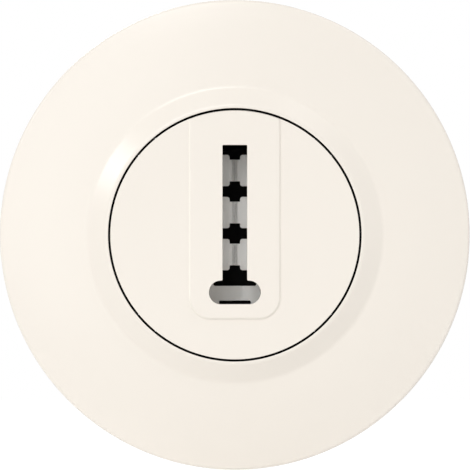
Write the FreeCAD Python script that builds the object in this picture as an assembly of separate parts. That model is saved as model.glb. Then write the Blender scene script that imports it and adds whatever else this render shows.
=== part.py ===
import FreeCAD, Part
import math
import os

from FreeCAD import Vector

os.makedirs("parts", exist_ok=True)

# A round flush-mounted telephone socket with a T-shaped plug opening.
# Millimetres. The wall is the plane y = 0, the front faces -Y and +Z is up.
# The origin is on the wall, at the centre of the round plate.

# Plug opening and its contact levels
level_count = 4
level_pitch = 9.17
top_level = 18.62
slot_width = 5.33
slot_headroom = 0.83
key_width = 11.2
key_height = 5.1
key_drop = 3.58

# Cover plate
plate_radius = 51.0
plate_wall = 1.8
rim_height = 4.2
dome_rise = 2.4
dome_bulge = 0.4
collar_rise = 2.0
collar_run = 4.1
collar_lip = 0.6
rim_chamfer = 0.7
foot_round = 2.5
lip_chamfer = 0.25
hole_chamfer = 0.12
screw_head_room = 4.6
rib_count = 8
rib_wall = 1.0
rib_lift = 2.2
post_width = 8.0
post_wall = 1.5
post_lift = 1.8
barb_width = 5.0
barb_reach = 0.9
barb_height = 1.0
barb_land = 0.35
pry_notch_width = 8.0
pry_notch_height = 1.0

# Trim disc
disc_radius = 27.0
disc_wall = 1.8
disc_chamfer = 0.2
ring_gap = 0.4
skirt_wall = 1.6
panel_width = 20.0
panel_raise = 0.4
panel_slope = 0.45
panel_margin = 3.38
panel_corner = 4.8
panel_inset = 0.3
head_notch_width = 12.0
head_notch_height = 3.2
collar_wall = 1.0
collar_depth = 2.0
leg_width = 5.0
leg_length = 1.6
leg_barb = 0.7
leg_land = 0.5
leg_slit = 0.8
leg_slit_depth = 3.6

# Support frame, pressed from sheet steel
frame_edge = 5.5
frame_rim_gap = 3.14
frame_sheet = 1.2
box_screw_spacing = 60.0
box_slot_width = 4.2
box_slot_half_angle = 9.0
corner_hole_edge = 7.169
corner_hole_radius = 1.8
bead_radius = 33.2
bead_length = 13.0
bead_width = 3.0
bead_raise = 0.8
bead_wall = 0.6
tab_width = 10.0
tab_dome_gap = 0.25
tab_bend = 0.8
tab_relief = 1.0
tab_window_width = 6.0
tab_window_height = 1.4
tab_bar = 0.75
frame_opening_corner = 1.5

# Contact housing
cavity_wall = 1.8
end_wall = 2.15
body_step = 2.0
body_depth = 7.0
body_corner = 1.5
floor_depth = 3.4
floor_valley = 0.8
key_valley = 1.6
groove_width = 0.9
groove_depth = 0.5
chamber_width = 10.8
chamber_height = 2.32
front_lip = 1.4
cross_width = 2.25
cross_height = 4.43
cross_round = 0.55
key_recess_width = 9.5
key_recess_drop = 2.24
key_recess_round = 0.5
key_strip_width = 6.8
key_strip_height = 0.65
hook_spacing = 20.0
hook_width = 5.0
hook_arm = 1.4
hook_stand_off = 0.6
hook_reach = 0.8
hook_height = 1.3

# Terminal base
base_depth = 9.0
terminal_half = 5.0
pocket_height = 7.2
spine_wall = 1.2
base_back_wall = 1.0
base_corner = 1.0
flange_thickness = 3.0

# Contact springs, bent from phosphor-bronze strip
strip_thickness = 0.4
strip_width = 1.9
bulge_gap = 2.6
bulge_depth = 5.2
tip_flare = 1.27
tip_length = 3.0
spring_wall_gap = 0.2
lug_length = 6.4
lug_width = 6.0
lug_hole_radius = 1.5
tip_pocket_size = 4.0
tip_pocket_depth = 2.6

# Terminal clamps and screws
clamp_size = 6.0
clamp_plate = 0.7
clamp_lip = 0.8
wire_room = 0.9
clamp_hole_radius = 1.65
terminal_head_radius = 2.75
terminal_head_height = 2.0
terminal_shank_radius = 1.45
terminal_shank_length = 4.2
drive_width = 0.8
drive_depth = 0.9
body_screw_inset = 1.75
body_head_radius = 2.1
body_head_height = 1.4
body_shank_radius = 1.05
body_shank_length = 9.0

# Clearances between mating pieces
plug_fit = 0.1
slide_fit = 0.2
frame_fit = 1.0
clip_gap = 0.4
screw_fit = 0.05
screw_hole_fit = 0.25
pocket_fit = 0.2
clamp_side_gap = 0.2

# Levels of the contacts and ends of the plug opening
levels = [top_level - level_pitch * i for i in range(level_count)]
slot_top = levels[0] + slot_headroom
key_centre = levels[-1] - key_drop
key_top = key_centre + key_height / 2
key_bottom = key_centre - key_height / 2

# Front and back planes, as y values
wall_plane = 0.0
dome_top = wall_plane - rim_height - dome_rise
front_plane = dome_top - collar_rise
disc_back = front_plane + disc_wall
frame_front = wall_plane - frame_sheet
body_back = wall_plane + body_depth
base_back = body_back + base_depth
hollow_back = base_back - base_back_wall
lug_back = body_back + strip_thickness
clamp_front = lug_back + wire_room
clamp_back = clamp_front + clamp_plate
flange_back = body_back + flange_thickness

# Radii and outlines that follow from the disc and the opening
hole_radius = disc_radius + ring_gap
collar_top_radius = hole_radius + collar_lip
collar_foot_radius = collar_top_radius + collar_run
skirt_outer = hole_radius + plate_wall
inner_rim_radius = plate_radius - plate_wall
under_rim = wall_plane - rim_height + plate_wall
skirt_inner = disc_radius - skirt_wall
tower_half = key_width / 2 + plug_fit + cavity_wall
tower_high = slot_top + plug_fit + end_wall
tower_low = key_bottom - plug_fit - end_wall
spine_half = chamber_width / 2 + pocket_fit + spine_wall
terminal_offset = spine_half + clamp_side_gap + clamp_size / 2
body_half = terminal_offset + terminal_half
body_high = tower_high + body_step
body_low = tower_low - body_step
tower_middle = (tower_high + tower_low) / 2
frame_half = box_screw_spacing / 2 + frame_edge
frame_reach = plate_radius - plate_wall - frame_rim_gap
corner_hole_offset = (frame_reach - corner_hole_edge) / math.sqrt(2)
arm_inner = tower_half + hook_stand_off
arm_outer = arm_inner + hook_arm
hook_levels = [tower_middle - hook_spacing / 2, tower_middle + hook_spacing / 2]
body_screw_levels = [body_low + body_screw_inset, body_high - body_screw_inset]

axis_start = Vector(0, 0, 0)
depth_axis = Vector(0, 1, 0)
quarter_turns = [0, 90, 180, 270]
diagonals = [45, 135, 225, 315]
tiny_overrun = 0.5


def block(x_range, y_range, z_range):
    """A box between two x, two y and two z values."""
    corner = Vector(x_range[0], y_range[0], z_range[0])
    size = [high - low for low, high in (x_range, y_range, z_range)]
    return Part.makeBox(*size, corner)


def centred_block(width, y_range, height, x=0.0, z=0.0):
    """A box centred on x and z."""
    return block((x - width / 2, x + width / 2), y_range, (z - height / 2, z + height / 2))


def rounded_block(x_range, y_range, z_range, radius):
    """A box whose edges along the depth are rounded."""
    solid = block(x_range, y_range, z_range)
    return solid.makeFillet(radius, depth_edges(solid))


def depth_edges(solid):
    """The straight edges of a solid that run along the depth."""
    straight = [edge for edge in solid.Edges if edge.Curve.TypeId == "Part::GeomLine"]
    return [edge for edge in straight if abs(edge.Curve.Direction.y) > 0.99]


def rod(radius, y_range, x=0.0, z=0.0):
    """A cylinder along the depth."""
    return Part.makeCylinder(radius, y_range[1] - y_range[0], Vector(x, y_range[0], z), depth_axis)


def ring(inner, outer, y_range):
    """A flat ring about the centre line."""
    return rod(outer, y_range).cut(rod(inner, y_range))


def polygon_edges(points):
    """The straight edges that join points in order, closed."""
    return Part.makePolygon([*points, points[0]]).Edges


def turned(edges, angle=360):
    """A solid of revolution about the centre line."""
    return Part.Face(Part.Wire(edges)).revolve(axis_start, depth_axis, angle)


def about_centre(shape, angles):
    """Copies of a shape turned about the centre line."""
    copies = []
    for angle in angles:
        copy = shape.copy()
        copy.rotate(axis_start, depth_axis, angle)
        copies.append(copy)
    return copies


def mirrored(shape):
    """The same shape on the other side of the plane x = 0."""
    return shape.mirror(axis_start, Vector(1, 0, 0))


def both_sides(shape):
    """A shape and its mirror image."""
    return [shape, mirrored(shape)]


def at_level(shape, level):
    """A copy of a shape raised to a level."""
    copy = shape.copy()
    copy.translate(Vector(0, 0, level))
    return copy


def circle_edges(solid, radius, y):
    """The round edges about the centre line with this radius and depth."""
    found = []
    for edge in solid.Edges:
        if edge.Curve.TypeId != "Part::GeomCircle":
            continue
        if abs(edge.Curve.Radius - radius) < 0.01 and abs(edge.Curve.Center.y - y) < 0.01:
            found.append(edge)
    return found


def rounded_path(points, radius):
    """A wire of straight runs joined by tangent arcs."""
    edges = []
    start = points[0]
    for before, corner, after in zip(points, points[1:], points[2:]):
        arriving = (corner - before).normalize()
        leaving = (after - corner).normalize()
        half_turn = arriving.getAngle(leaving) / 2
        enter = corner - arriving * radius * math.tan(half_turn)
        leave = corner + leaving * radius * math.tan(half_turn)
        inward = (leaving - arriving).normalize()
        middle = corner + inward * (radius / math.cos(half_turn) - radius)
        edges.append(Part.makeLine(start, enter))
        edges.append(Part.Arc(enter, middle, leave).toShape())
        start = leave
    edges.append(Part.makeLine(start, points[-1]))
    return Part.Wire(edges)


def dome_arc(sink=0.0):
    """The dome's arc from the rim to the collar's foot, with the middle raised."""
    rim_top = Vector(plate_radius, wall_plane - rim_height + sink, 0)
    collar_foot = Vector(collar_foot_radius, dome_top + sink, 0)
    middle = (rim_top + collar_foot) * 0.5 - Vector(0, dome_bulge, 0)
    return Part.Arc(rim_top, middle, collar_foot)


def dome_underside(radius):
    """The depth of the underside of the dome at a radius."""
    fall = (dome_top + plate_wall - under_rim) / (collar_foot_radius - inner_rim_radius)
    return under_rim + (radius - inner_rim_radius) * fall


def tab_window_depths():
    """The front and back of the window in a frame tab, below the tab's top bar."""
    high = dome_underside(frame_half) + tab_dome_gap + tab_bar
    return (high, high + tab_window_height)


def cover_outline():
    """The closed section of the plate, skirt and rim, in radius and depth."""
    slope = math.atan2(collar_rise, collar_run)
    collar_drop = (collar_foot_radius - skirt_outer) * math.tan(slope)
    collar_under = dome_top - collar_drop + plate_wall / math.cos(slope)
    corners = [
        Vector(collar_foot_radius, dome_top, 0),
        Vector(collar_top_radius, front_plane, 0),
        Vector(hole_radius, front_plane, 0),
        Vector(hole_radius, wall_plane - screw_head_room, 0),
        Vector(skirt_outer, wall_plane - screw_head_room, 0),
        Vector(skirt_outer, collar_under, 0),
        Vector(collar_foot_radius, dome_top + plate_wall, 0),
        Vector(inner_rim_radius, under_rim, 0),
        Vector(inner_rim_radius, wall_plane, 0),
        Vector(plate_radius, wall_plane, 0),
        Vector(plate_radius, wall_plane - rim_height, 0),
    ]
    return [dome_arc().toShape()] + Part.makePolygon(corners).Edges


def cover_form(sink):
    """The solid space under the plate's dome and collar, sunk towards the wall."""
    corners = [
        Vector(collar_foot_radius, dome_top + sink, 0),
        Vector(collar_top_radius, front_plane + sink, 0),
        Vector(hole_radius, front_plane + sink, 0),
        Vector(hole_radius, wall_plane + sink, 0),
        Vector(plate_radius, wall_plane + sink, 0),
        Vector(plate_radius, wall_plane - rim_height + sink, 0),
    ]
    return turned([dome_arc(sink).toShape()] + Part.makePolygon(corners).Edges)


def cover_clip(form):
    """A post with a barb that snaps into the window of a frame tab."""
    inner = frame_half + clip_gap
    post = block((inner, inner + post_wall), (dome_top, -post_lift), (-post_width / 2, post_width / 2))
    window_middle = sum(tab_window_depths()) / 2
    catch = window_middle - barb_height / 2
    nose = window_middle + barb_height / 2
    corners = [
        Vector(inner, catch, -barb_width / 2),
        Vector(inner - barb_reach, catch, -barb_width / 2),
        Vector(inner - barb_reach, catch + barb_land, -barb_width / 2),
        Vector(inner, nose, -barb_width / 2),
    ]
    barb = Part.Face(Part.Wire(polygon_edges(corners))).extrude(Vector(0, 0, barb_width))
    return post.common(form).fuse(barb)


def make_cover_plate():
    """The moulded round plate: shell, inner skirt, stiffening ribs and clip posts."""
    shell = turned(cover_outline())
    shell = shell.makeFillet(foot_round, circle_edges(shell, collar_foot_radius, dome_top))
    shell = shell.makeChamfer(lip_chamfer, circle_edges(shell, collar_top_radius, front_plane))
    shell = shell.makeChamfer(rim_chamfer, circle_edges(shell, plate_radius, wall_plane - rim_height))
    shell = shell.makeChamfer(hole_chamfer, circle_edges(shell, hole_radius, front_plane))
    form = cover_form(plate_wall / 2)
    rib_reach = (skirt_outer - plate_wall / 2, plate_radius - plate_wall / 2)
    rib = block(rib_reach, (front_plane, -rib_lift), (-rib_wall / 2, rib_wall / 2)).common(form)
    step = 360 / rib_count
    ribs = about_centre(rib, [step * (i + 0.5) for i in range(rib_count)])
    clips = about_centre(cover_clip(form), quarter_turns)
    notch_z = (-plate_radius - tiny_overrun, -plate_radius + plate_wall + tiny_overrun)
    notch_x = (-pry_notch_width / 2, pry_notch_width / 2)
    notch = block(notch_x, (-pry_notch_height, tiny_overrun), notch_z)
    return shell.fuse(ribs + clips).removeSplitter().cut(notch)


def key_outline(y_range):
    """The rounded wide end of the plug opening."""
    radius = key_height / 2
    end = key_width / 2 - radius
    middle = block((-end, end), y_range, (key_bottom, key_top))
    ends = [rod(radius, y_range, x, key_centre) for x in (-end, end)]
    return middle.fuse(ends).removeSplitter()


def panel_wire(shrink, y):
    """The U-shaped outline of the raised panel, drawn in by a margin."""
    half = panel_width / 2 - shrink
    low = key_bottom - panel_margin + shrink
    radius = panel_corner - shrink
    high = disc_radius + tiny_overrun
    slant = radius * (1 - math.sqrt(0.5))
    left_arc = Part.Arc(Vector(-half, y, low + radius), Vector(-half + slant, y, low + slant),
                        Vector(-half + radius, y, low))
    right_arc = Part.Arc(Vector(half - radius, y, low), Vector(half - slant, y, low + slant),
                         Vector(half, y, low + radius))
    return Part.Wire([
        Part.makeLine(Vector(-half, y, high), Vector(-half, y, low + radius)),
        left_arc.toShape(),
        Part.makeLine(Vector(-half + radius, y, low), Vector(half - radius, y, low)),
        right_arc.toShape(),
        Part.makeLine(Vector(half, y, low + radius), Vector(half, y, high)),
        Part.makeLine(Vector(half, y, high), Vector(-half, y, high)),
    ])


def raised_panel():
    """The raised panel with sloped edges, ending just inside the disc's edge."""
    outlines = [
        panel_wire(0.0, front_plane + disc_wall / 2),
        panel_wire(0.0, front_plane),
        panel_wire(panel_slope, front_plane - panel_raise),
    ]
    foot = Part.makeLoft(outlines[:2], True, True)
    cap = Part.makeLoft(outlines[1:], True, True)
    reach = rod(disc_radius - panel_inset, (front_plane - panel_raise, disc_back))
    return foot.fuse(cap).common(reach)


def trim_leg():
    """A springy leg of the skirt that snaps behind the frame."""
    tip = wall_plane + leg_length
    sector = centred_block(2 * disc_radius, (frame_front - tiny_overrun, tip), leg_width, disc_radius)
    stem = ring(skirt_inner, disc_radius, (frame_front - tiny_overrun, tip)).common(sector)
    corners = [
        Vector(disc_radius - skirt_wall / 2, wall_plane + plug_fit, 0),
        Vector(disc_radius + leg_barb, wall_plane + plug_fit, 0),
        Vector(disc_radius + leg_barb, wall_plane + leg_land, 0),
        Vector(disc_radius, tip, 0),
        Vector(disc_radius - skirt_wall / 2, tip, 0),
    ]
    barb = turned(polygon_edges(corners)).common(sector)
    return stem.fuse(barb)


def make_trim_disc():
    """The flush disc: front, raised panel, skirt, snap legs and the plug opening."""
    disc = rod(disc_radius, (front_plane, disc_back))
    disc = disc.makeChamfer(disc_chamfer, circle_edges(disc, disc_radius, front_plane))
    skirt = ring(skirt_inner, disc_radius, (disc_back - disc_wall / 2, frame_front))
    notch_y = (frame_front - head_notch_height, frame_front + tiny_overrun)
    skirt_middle = disc_radius - skirt_wall / 2
    cut_width = skirt_wall + 2 * tiny_overrun
    notch = centred_block(cut_width, notch_y, head_notch_width, skirt_middle)
    slit_y = (frame_front - leg_slit_depth, frame_front + tiny_overrun)
    slit_z = (leg_width + leg_slit) / 2
    slits = []
    for z in (-slit_z, slit_z):
        slits.append(centred_block(cut_width, slit_y, leg_slit, skirt_middle, z))
    skirt = skirt.cut(about_centre(notch, quarter_turns))
    for slit in slits:
        skirt = skirt.cut(about_centre(slit, diagonals))
    inner_half = tower_half + plug_fit
    outer_half = inner_half + collar_wall
    collar_y = (disc_back - disc_wall / 2, disc_back + collar_depth)
    grow = plug_fit + collar_wall
    collar = block((-outer_half, outer_half), collar_y, (tower_low - grow, tower_high + grow))
    collar_hole_z = (tower_low - plug_fit, tower_high + plug_fit)
    collar_hole = block((-inner_half, inner_half), (disc_back, collar_y[1]), collar_hole_z)
    body = disc.fuse([skirt, raised_panel(), collar.cut(collar_hole)])
    body = body.fuse(about_centre(trim_leg(), diagonals)).removeSplitter()
    through = (front_plane - panel_raise - tiny_overrun, disc_back + tiny_overrun)
    slot = block((-slot_width / 2, slot_width / 2), through, (key_centre, slot_top))
    return body.cut([slot, key_outline(through)])


def box_slot():
    """A curved slot for a wall-box screw, on its pitch circle."""
    radius = box_screw_spacing / 2
    y_range = (frame_front - tiny_overrun, wall_plane + tiny_overrun)
    half = box_slot_width / 2
    corners = [
        Vector(radius - half, y_range[0], 0),
        Vector(radius + half, y_range[0], 0),
        Vector(radius + half, y_range[1], 0),
        Vector(radius - half, y_range[1], 0),
    ]
    middle = turned(polygon_edges(corners), 2 * box_slot_half_angle)
    middle.rotate(axis_start, depth_axis, -box_slot_half_angle)
    end_angles = [-box_slot_half_angle, box_slot_half_angle]
    ends = about_centre(rod(half, y_range, radius), end_angles)
    return middle.fuse(ends)


def frame_tab():
    """A tab bent up from the frame's edge, with a window for a plate barb."""
    x_range = (frame_half - frame_sheet, frame_half)
    tab_top = dome_underside(frame_half) + tab_dome_gap
    tab = centred_block(frame_sheet, (tab_top, wall_plane), tab_width, sum(x_range) / 2)
    outer_edges = []
    for edge in tab.Edges:
        middle = edge.CenterOfMass
        if abs(middle.x - frame_half) < 0.01 and abs(middle.y - wall_plane) < 0.01:
            outer_edges.append(edge)
    tab = tab.makeFillet(tab_bend, outer_edges)
    return tab.cut(centred_block(2 * frame_sheet, tab_window_depths(), tab_window_width, frame_half))


def frame_bead():
    """A pressed stiffening bead, as its raised bar and the hollow behind it."""
    y_range = (frame_front - bead_raise, frame_front)
    half = bead_width / 2
    x_range = (bead_radius - half, bead_radius + half)
    z_range = (-bead_length / 2, bead_length / 2)
    bar = block(x_range, y_range, z_range)
    hollow = bar.copy()
    hollow.translate(Vector(0, frame_sheet, 0))
    hollow_lip = block(x_range, (wall_plane, wall_plane + tiny_overrun), z_range)
    shrunk = centred_block(bead_width - 2 * bead_wall, (wall_plane - bead_raise, wall_plane + tiny_overrun),
                           bead_length - 2 * bead_wall, bead_radius)
    return bar, hollow.fuse(hollow_lip).common(shrunk)


def make_support_frame():
    """The square sheet-steel frame that the mechanism and both covers hang on."""
    span = (-frame_half, frame_half)
    sheet = block(span, (frame_front, wall_plane), span)
    sheet = sheet.common(rod(frame_reach, (frame_front, wall_plane)))
    through = (frame_front - tiny_overrun, wall_plane + tiny_overrun)
    opening_half = tower_half + frame_fit
    opening_z = (tower_low - frame_fit, tower_high + frame_fit)
    opening = rounded_block((-opening_half, opening_half), through, opening_z, frame_opening_corner)
    cuts = [opening]
    for level in hook_levels:
        cuts.append(centred_block(2 * (arm_outer + slide_fit), through, hook_width + 2 * slide_fit, 0, level))
    cuts += about_centre(box_slot(), quarter_turns)
    for x in (-corner_hole_offset, corner_hole_offset):
        for z in (-corner_hole_offset, corner_hole_offset):
            cuts.append(rod(corner_hole_radius, through, x, z))
    window = ring(skirt_inner - slide_fit, disc_radius + slide_fit, through)
    window = window.common(centred_block(2 * disc_radius, through, leg_width + 2 * slide_fit, disc_radius))
    cuts += about_centre(window, diagonals)
    relief_x = (frame_half - frame_sheet - tab_relief, frame_half + tiny_overrun)
    relief_z = (tab_width + tab_relief) / 2
    for z in (-relief_z, relief_z):
        relief = block(relief_x, through, (z - tab_relief / 2, z + tab_relief / 2))
        cuts += about_centre(relief, quarter_turns)
    corner_z = (-tab_width / 2, tab_width / 2)
    bend_corner = block((frame_half - tab_bend, frame_half + tiny_overrun), through, corner_z)
    cuts += about_centre(bend_corner, quarter_turns)
    bead, hollow = frame_bead()
    cuts += about_centre(hollow, diagonals)
    sheet = sheet.cut(cuts)
    sheet = sheet.fuse(about_centre(bead, diagonals) + about_centre(frame_tab(), quarter_turns))
    return sheet.removeSplitter()


def trough(half, z_range, edge_depth, valley):
    """A plug cavity whose floor is a shallow round valley."""
    front = disc_back - tiny_overrun
    floor = Part.Arc(Vector(half, edge_depth, 0), Vector(0, edge_depth + valley, 0),
                     Vector(-half, edge_depth, 0)).toShape()
    sides = Part.makePolygon([Vector(-half, edge_depth, 0), Vector(-half, front, 0),
                              Vector(half, front, 0), Vector(half, edge_depth, 0)])
    face = Part.Face(Part.Wire([floor] + sides.Edges))
    face.translate(Vector(0, 0, z_range[0]))
    return face.extrude(Vector(0, 0, z_range[1] - z_range[0]))


def contact_chamber(level):
    """The space of one contact pair, which opens the floor as a cross."""
    through = (disc_back + front_lip, body_back + tiny_overrun)
    side = centred_block(chamber_width, through, chamber_height, 0, level)
    upright_top = min(level + cross_height / 2, slot_top + plug_fit)
    upright_z = (level - cross_height / 2, upright_top)
    upright = block((-cross_width / 2, cross_width / 2), (floor_depth, through[1]), upright_z)
    cross = side.fuse(upright).removeSplitter()
    rounded_at = [level - chamber_height / 2]
    if upright_top == level + cross_height / 2:
        rounded_at.append(level + chamber_height / 2)
    inner = []
    for edge in depth_edges(cross):
        middle = edge.CenterOfMass
        on_bar = any(abs(middle.z - z) < 0.01 for z in rounded_at)
        if on_bar and abs(abs(middle.x) - cross_width / 2) < 0.01:
            inner.append(edge)
    return cross.makeFillet(cross_round, inner)


def housing_hook():
    """A snap hook that grips the front of the frame."""
    root = wall_plane + tiny_overrun
    catch = frame_front - plug_fit
    nose = catch - hook_height
    corners = [
        Vector(arm_inner, root, -hook_width / 2),
        Vector(arm_outer, root, -hook_width / 2),
        Vector(arm_outer, catch, -hook_width / 2),
        Vector(arm_outer + hook_reach, catch, -hook_width / 2),
        Vector(arm_outer, nose, -hook_width / 2),
        Vector(arm_inner, nose, -hook_width / 2),
    ]
    return Part.Face(Part.Wire(polygon_edges(corners))).extrude(Vector(0, 0, hook_width))


def make_contact_housing():
    """The grey mechanism body with the plug cavity and the contact chambers."""
    tower_x = (-tower_half, tower_half)
    tower_y = (disc_back, wall_plane + tiny_overrun)
    tower = rounded_block(tower_x, tower_y, (tower_low, tower_high), body_corner)
    body_x = (-body_half, body_half)
    body = rounded_block(body_x, (wall_plane, body_back), (body_low, body_high), body_corner)
    hooks = []
    for level in hook_levels:
        hooks += both_sides(at_level(housing_hook(), level))
    solid = body.fuse([tower] + hooks).removeSplitter()
    key_half = key_width / 2 + plug_fit
    key_z = (key_bottom - plug_fit, key_top + plug_fit)
    slot_half = slot_width / 2 + plug_fit
    groove_back = floor_depth + floor_valley + groove_depth
    groove_z = (key_top, slot_top + plug_fit)
    cuts = [
        trough(slot_half, (key_top, slot_top + plug_fit), floor_depth, floor_valley),
        trough(key_half, key_z, floor_depth, key_valley),
        block((-groove_width / 2, groove_width / 2), (floor_depth, groove_back), groove_z),
    ]
    cuts += [contact_chamber(level) for level in levels]
    deep = (floor_depth, body_back + tiny_overrun)
    recess_z = (levels[-1] - key_recess_drop, key_top)
    recess_x = (-key_recess_width / 2, key_recess_width / 2)
    cuts.append(rounded_block(recess_x, deep, recess_z, key_recess_round))
    strip_z = (key_bottom - plug_fit, key_bottom + key_strip_height)
    cuts.append(block((-key_strip_width / 2, key_strip_width / 2), deep, strip_z))
    tip_room = (body_back - tip_pocket_depth, body_back + tiny_overrun)
    for level in levels:
        for x in (-terminal_offset, terminal_offset):
            cuts.append(centred_block(tip_pocket_size, tip_room, tip_pocket_size, x, level))
    pilot_y = (flange_back - body_shank_length - tiny_overrun, body_back + tiny_overrun)
    for level in body_screw_levels:
        cuts.append(rod(body_shank_radius + screw_fit, pilot_y, 0, level))
    return solid.cut(cuts)


def make_terminal_base():
    """The dark rear moulding with a hollow spine and eight terminal pockets."""
    pocket_half = pocket_height / 2
    wall = level_pitch - pocket_height
    block_low = levels[-1] - pocket_half - wall
    deep = (body_back, base_back)
    block_z = (block_low, body_high)
    wide = rounded_block((-body_half, body_half), deep, block_z, base_corner)
    spine = rounded_block((-spine_half, spine_half), deep, (key_bottom - wall, body_high), base_corner)
    flange_y = (body_back, flange_back)
    flange = rounded_block((-spine_half, spine_half), flange_y, (body_low, block_low), base_corner)
    solid = wide.fuse([spine, flange]).removeSplitter()
    hollow_half = spine_half - spine_wall
    hollow_z = (key_bottom - plug_fit, levels[0] + chamber_height / 2)
    through = (body_back - tiny_overrun, base_back + tiny_overrun)
    cuts = [block((-hollow_half, hollow_half), (body_back - tiny_overrun, hollow_back), hollow_z)]
    neck_y = (body_back - tiny_overrun, lug_back + pocket_fit)
    for level in levels:
        pocket_z = (level - pocket_half, level + pocket_half)
        pocket = block((spine_half, body_half + tiny_overrun), through, pocket_z)
        neck_z = (level - chamber_height / 2, level + chamber_height / 2)
        neck = block((hollow_half, spine_half), neck_y, neck_z)
        cuts += both_sides(pocket) + both_sides(neck)
    head_room = body_head_radius + pocket_fit
    for level in body_screw_levels:
        cuts.append(rod(body_shank_radius + screw_hole_fit, through, 0, level))
        cuts.append(rod(head_room, (flange_back, through[1]), 0, level))
    return solid.cut(cuts)


def make_contact():
    """A right-hand contact at level zero: a bent spring strip with its terminal lug."""
    bulge_y = disc_back + bulge_depth
    wall_x = chamber_width / 2 - spring_wall_gap - strip_thickness
    path = rounded_path([
        Vector(bulge_gap + tip_flare, bulge_y - tip_length, 0),
        Vector(bulge_gap, bulge_y, 0),
        Vector(wall_x, floor_depth, 0),
        Vector(wall_x, lug_back, 0),
        Vector(terminal_offset, lug_back, 0),
    ], strip_thickness + spring_wall_gap)
    strip = path.makeOffset2D(strip_thickness, 0, True, True, False)
    strip.translate(Vector(0, 0, -strip_width / 2))
    spring = strip.extrude(Vector(0, 0, strip_width))
    lug = centred_block(lug_length, (body_back, lug_back), lug_width, terminal_offset)
    hole = rod(lug_hole_radius, (body_back - tiny_overrun, lug_back + tiny_overrun), terminal_offset)
    return spring.fuse(lug).removeSplitter().cut(hole)


def make_clamp():
    """A right-hand clamp washer at level zero with two lips that stand on the lug."""
    plate = centred_block(clamp_size, (clamp_front, clamp_back), clamp_size, terminal_offset)
    lips = []
    for side in (-1, 1):
        z = side * (clamp_size - clamp_lip) / 2
        lips.append(centred_block(clamp_size, (lug_back, clamp_back), clamp_lip, terminal_offset, z))
    solid = plate.fuse(lips).removeSplitter()
    overrun = (clamp_front - tiny_overrun, clamp_back + tiny_overrun)
    return solid.cut(rod(clamp_hole_radius, overrun, terminal_offset))


def make_screw(head_radius, head_height, shank_radius, shank_length, seat):
    """A slotted screw on the centre line, with its head behind the seat plane."""
    head_back = seat + head_height
    head = rod(head_radius, (seat, head_back))
    shank = rod(shank_radius, (seat - shank_length, seat))
    slot_y = (head_back - drive_depth, head_back + tiny_overrun)
    slot = centred_block(2 * (head_radius + tiny_overrun), slot_y, drive_width)
    return head.fuse(shank).removeSplitter().cut(slot)


def placed(shape, x, z):
    """A copy of a shape moved in x and z."""
    copy = shape.copy()
    copy.translate(Vector(x, 0, z))
    return copy


def export(name, shape):
    """Write one named piece."""
    shape.exportStep(os.path.join("parts", name + ".step"))


pieces = {
    "cover_plate": make_cover_plate(),
    "trim_disc": make_trim_disc(),
    "support_frame": make_support_frame(),
    "contact_housing": make_contact_housing(),
    "terminal_base": make_terminal_base(),
}

# Contacts and clamps are numbered in pairs from the top, right side first
right_contact = make_contact()
right_clamp = make_clamp()
for pair, level in enumerate(levels):
    sides = zip(both_sides(right_contact), both_sides(right_clamp))
    for side, (contact, clamp) in enumerate(sides):
        number = 2 * pair + side + 1
        pieces[f"contact_{number}"] = at_level(contact, level)
        pieces[f"terminal_clamp_{number}"] = at_level(clamp, level)

terminal_screw = make_screw(terminal_head_radius, terminal_head_height, terminal_shank_radius,
                            terminal_shank_length, clamp_back)
terminal_places = [(x, z) for x in (-terminal_offset, terminal_offset) for z in levels]
pieces["terminal_screws"] = Part.Compound([placed(terminal_screw, x, z) for x, z in terminal_places])

body_screw = make_screw(body_head_radius, body_head_height, body_shank_radius,
                        body_shank_length, flange_back)
pieces["body_screws"] = Part.Compound([placed(body_screw, 0, z) for z in body_screw_levels])

for name, shape in pieces.items():
    export(name, shape)
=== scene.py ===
import logging
import math
from dataclasses import dataclass
from enum import Enum
from typing import Callable, Iterable, Sequence

import bmesh
import bpy
from mathutils import Matrix, Vector


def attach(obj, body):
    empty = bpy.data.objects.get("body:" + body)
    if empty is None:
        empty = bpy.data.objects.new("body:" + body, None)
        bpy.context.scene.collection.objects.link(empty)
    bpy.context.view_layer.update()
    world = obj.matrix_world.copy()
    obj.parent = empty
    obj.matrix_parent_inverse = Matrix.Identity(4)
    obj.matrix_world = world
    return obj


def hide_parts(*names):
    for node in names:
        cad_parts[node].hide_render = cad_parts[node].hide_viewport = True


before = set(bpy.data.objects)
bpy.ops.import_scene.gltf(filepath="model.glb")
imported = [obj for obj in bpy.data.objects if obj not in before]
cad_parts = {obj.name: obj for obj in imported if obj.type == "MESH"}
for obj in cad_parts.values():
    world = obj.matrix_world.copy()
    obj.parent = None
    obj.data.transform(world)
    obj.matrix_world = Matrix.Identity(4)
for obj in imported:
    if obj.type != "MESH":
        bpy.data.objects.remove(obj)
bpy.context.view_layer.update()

# Sizes are in millimetres in the frame of the CAD: the wall is y = 0, the front faces -Y, +Z is up.
METRES = 0.001
AXIS = Vector((0.0, 1.0, 0.0))
ORIGIN = Vector((0.0, 0.0, 0.0))
WHITE = (1.0, 1.0, 1.0, 1.0)

# The steps of a full turn, and how far a cutter runs past what it cuts.
LATHE_STEPS = 288
OVERRUN = 1.0

# The angles of the four sides and of the four corners round the centre line.
QUARTERS = (0.0, 90.0, 180.0, 270.0)
DIAGONALS = (45.0, 135.0, 225.0, 315.0)

# How near two corners are that merge, in a new form and in a copy of a CAD node.
SAME_SPOT = 1e-5
SAME_CAD_SPOT = 1e-3

# How far in from both sides the middle of a quarter round lies, as a share of its radius.
ARC_SHARE = 0.29

# The heights of the four contact levels.
LEVELS = (18.62, 9.45, 0.28, -8.89)

log = logging.getLogger("socket")


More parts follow.
